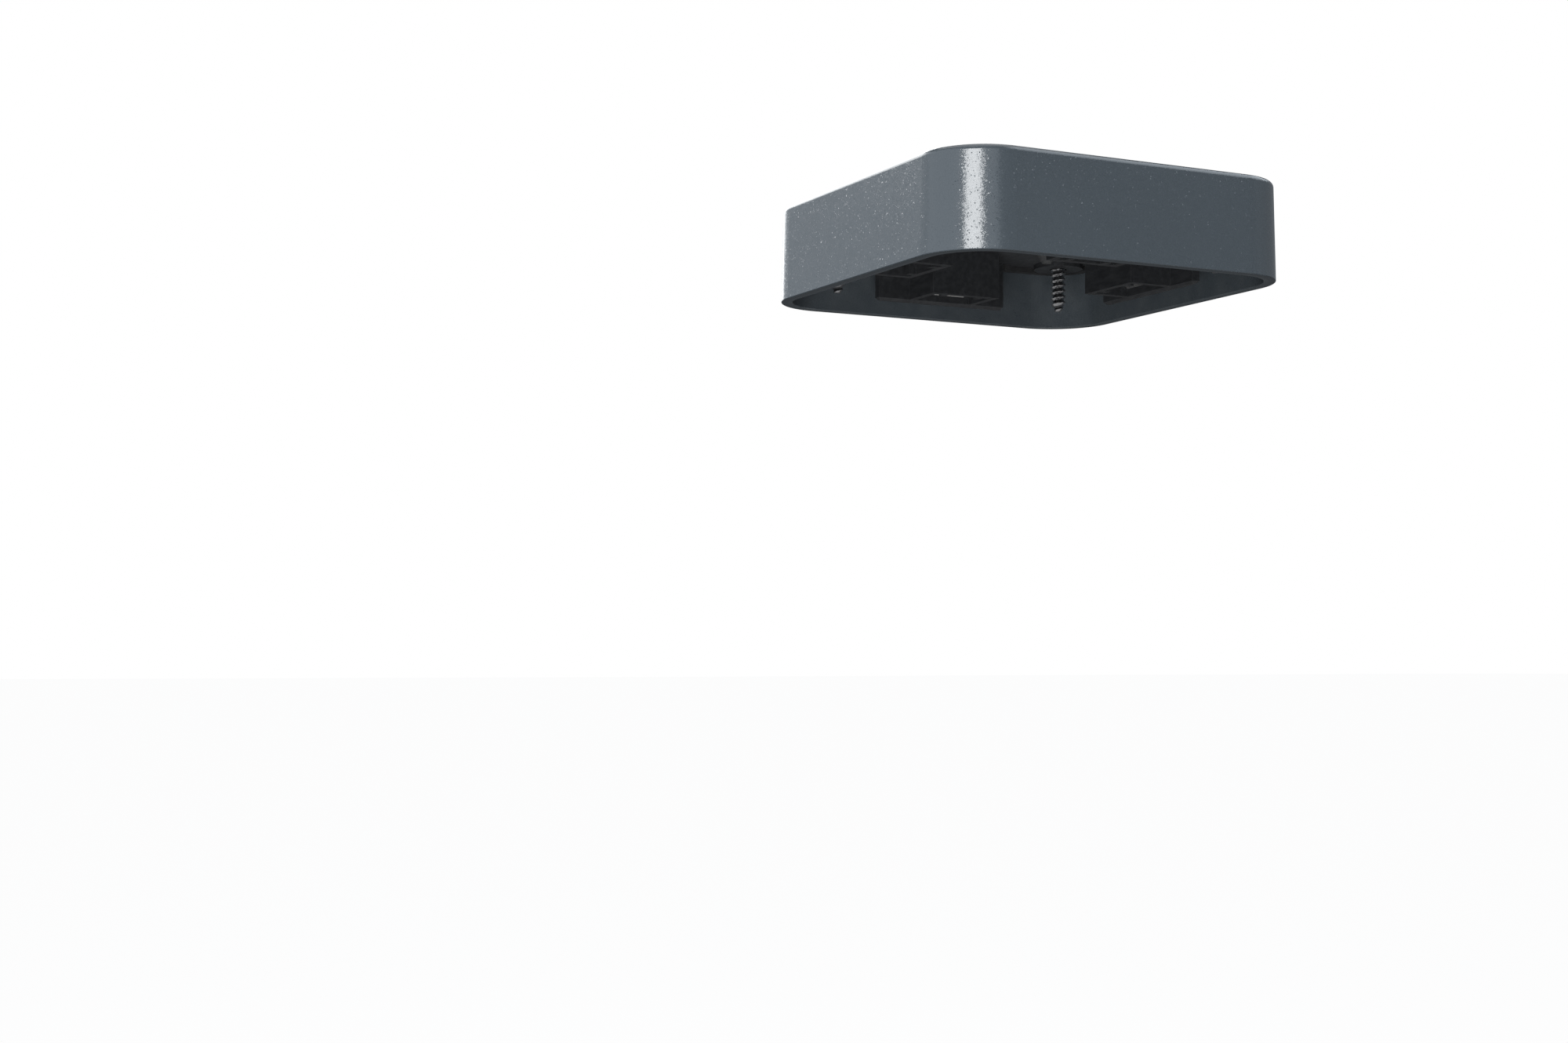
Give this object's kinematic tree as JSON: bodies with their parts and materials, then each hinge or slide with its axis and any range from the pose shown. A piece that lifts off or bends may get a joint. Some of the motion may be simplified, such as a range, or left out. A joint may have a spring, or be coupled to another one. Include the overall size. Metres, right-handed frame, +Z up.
{
  "type": "fence post cap",
  "caption": "Low square post cap with a drafted skirt and rounded corners: a die-cast cover clips onto an adapter screwed into the end of a hollow square post.",
  "frame": {"origin": "on the post's axis, in the plane of the post's cut end, at the centre of the four fixing screws", "axes": "+Z up, along the post and out of its end; X and Y square to the faces of the post"},
  "size_m": [0.112, 0.112, 0.0288],
  "materials": {
    "cover_coat": "satin anthracite powder coat with a fine metallic sparkle, on die-cast aluminium",
    "adapter_plastic": "black glass-filled polyamide, finely textured",
    "seal_rubber": "matt black rubber",
    "buffer_rubber": "matt black rubber",
    "clip_steel": "rolled stainless spring strip",
    "screw_steel": "stainless steel"
  },
  "bodies": {
    "adapter": {"adapter_plate": "adapter_plastic", "right_carrier": "adapter_plastic", "rear_carrier": "adapter_plastic", "left_carrier": "adapter_plastic", "front_carrier": "adapter_plastic", "end_seal": "seal_rubber", "fixing_screws": "screw_steel", "screw_washers": "screw_steel", "buffer_1": "buffer_rubber", "buffer_2": "buffer_rubber", "buffer_3": "buffer_rubber", "buffer_4": "buffer_rubber"},
    "cover": {"cap_shell": "cover_coat"},
    "right_leaf": {"right_clip": "clip_steel"},
    "rear_leaf": {"rear_clip": "clip_steel"},
    "left_leaf": {"left_clip": "clip_steel"},
    "front_leaf": {"front_clip": "clip_steel"}
  },
  "joints": [
    {"name": "cover_lift", "type": "slide", "parent": "adapter", "child": "cover", "axis": [0, 0, 1], "range_m": [0, 0.04]},
    {"name": "right_clip_flex", "type": "hinge", "parent": "adapter", "child": "right_leaf", "pos_m": [0.04118, 0, 0.0024], "axis": [0, -1, 0], "range_deg": [0, 7], "stiffness_Nm_per_rad": 0.26, "springref_deg": -6.02},
    {"name": "rear_clip_flex", "type": "hinge", "parent": "adapter", "child": "rear_leaf", "pos_m": [0, 0.04118, 0.0024], "axis": [1, 0, 0], "range_deg": [0, 7], "stiffness_Nm_per_rad": 0.26, "springref_deg": -6.02},
    {"name": "left_clip_flex", "type": "hinge", "parent": "adapter", "child": "left_leaf", "pos_m": [-0.04118, 0, 0.0024], "axis": [0, 1, 0], "range_deg": [0, 7], "stiffness_Nm_per_rad": 0.26, "springref_deg": -6.02},
    {"name": "front_clip_flex", "type": "hinge", "parent": "adapter", "child": "front_leaf", "pos_m": [0, -0.04118, 0.0024], "axis": [-1, 0, 0], "range_deg": [0, 7], "stiffness_Nm_per_rad": 0.26, "springref_deg": -6.02}
  ]
}
